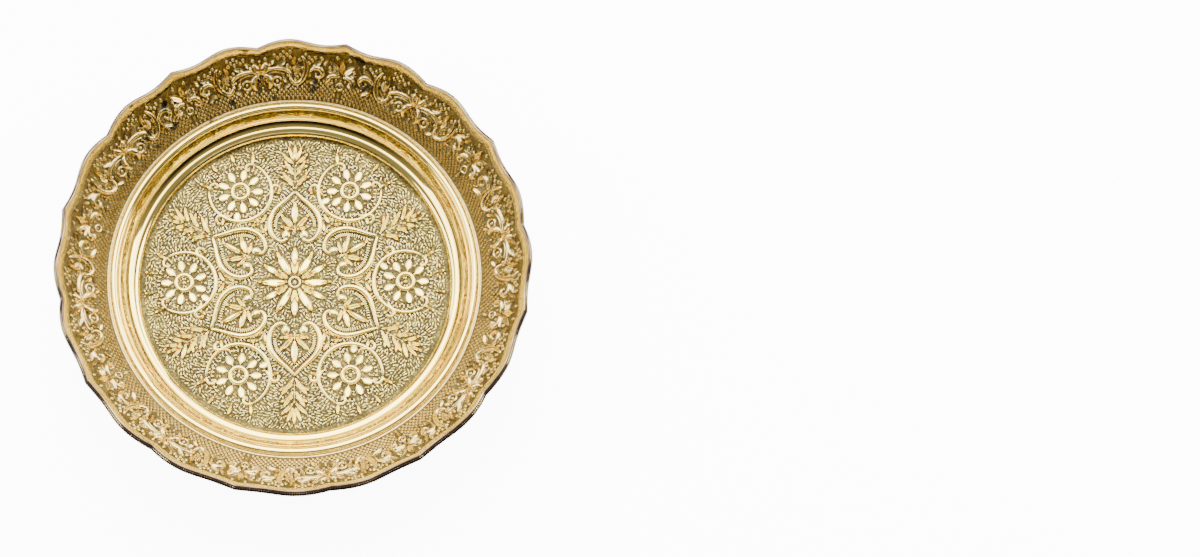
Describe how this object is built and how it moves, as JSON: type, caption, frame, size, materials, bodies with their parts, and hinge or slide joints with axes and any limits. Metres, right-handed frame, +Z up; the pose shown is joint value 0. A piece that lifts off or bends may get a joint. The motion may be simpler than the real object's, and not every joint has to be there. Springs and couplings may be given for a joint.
{
  "type": "tray",
  "caption": "Round footed brass tray with an embossed floor, a turned well moulding, a sloping embossed border and a scalloped reeded edge.",
  "frame": {"origin": "bottom centre of the foot, on the surface the tray stands on", "axes": "+Z up through the centre of the floor; +X through one inward cusp of the scalloped edge"},
  "size_m": [0.2526, 0.2526, 0.0459],
  "materials": {
    "embossed_plate": "embossed, dark wax in the hollows, rubbed bright on the high spots",
    "embossed_border": "embossed, dark wax in the hollows, rubbed bright on the high spots",
    "polished_ring": "turned and polished",
    "reeded_edge": "reeded, tarnished purple-brown with bright crests",
    "solder": "dull grey solder",
    "foot": "turned, dull from handling"
  },
  "bodies": {
    "root": {"centre_plate": "embossed_plate", "foot_ring": "foot", "well_ring": "polished_ring", "border": "embossed_border", "edge_strip_1": "reeded_edge", "edge_strip_2": "reeded_edge", "edge_strip_3": "reeded_edge", "edge_strip_4": "reeded_edge", "edge_strip_5": "reeded_edge", "edge_strip_6": "reeded_edge", "edge_strip_7": "reeded_edge", "edge_strip_8": "reeded_edge", "plate_solder": "solder", "foot_solder": "solder", "border_solder": "solder", "edge_solder": "solder"}
  },
  "joints": []
}
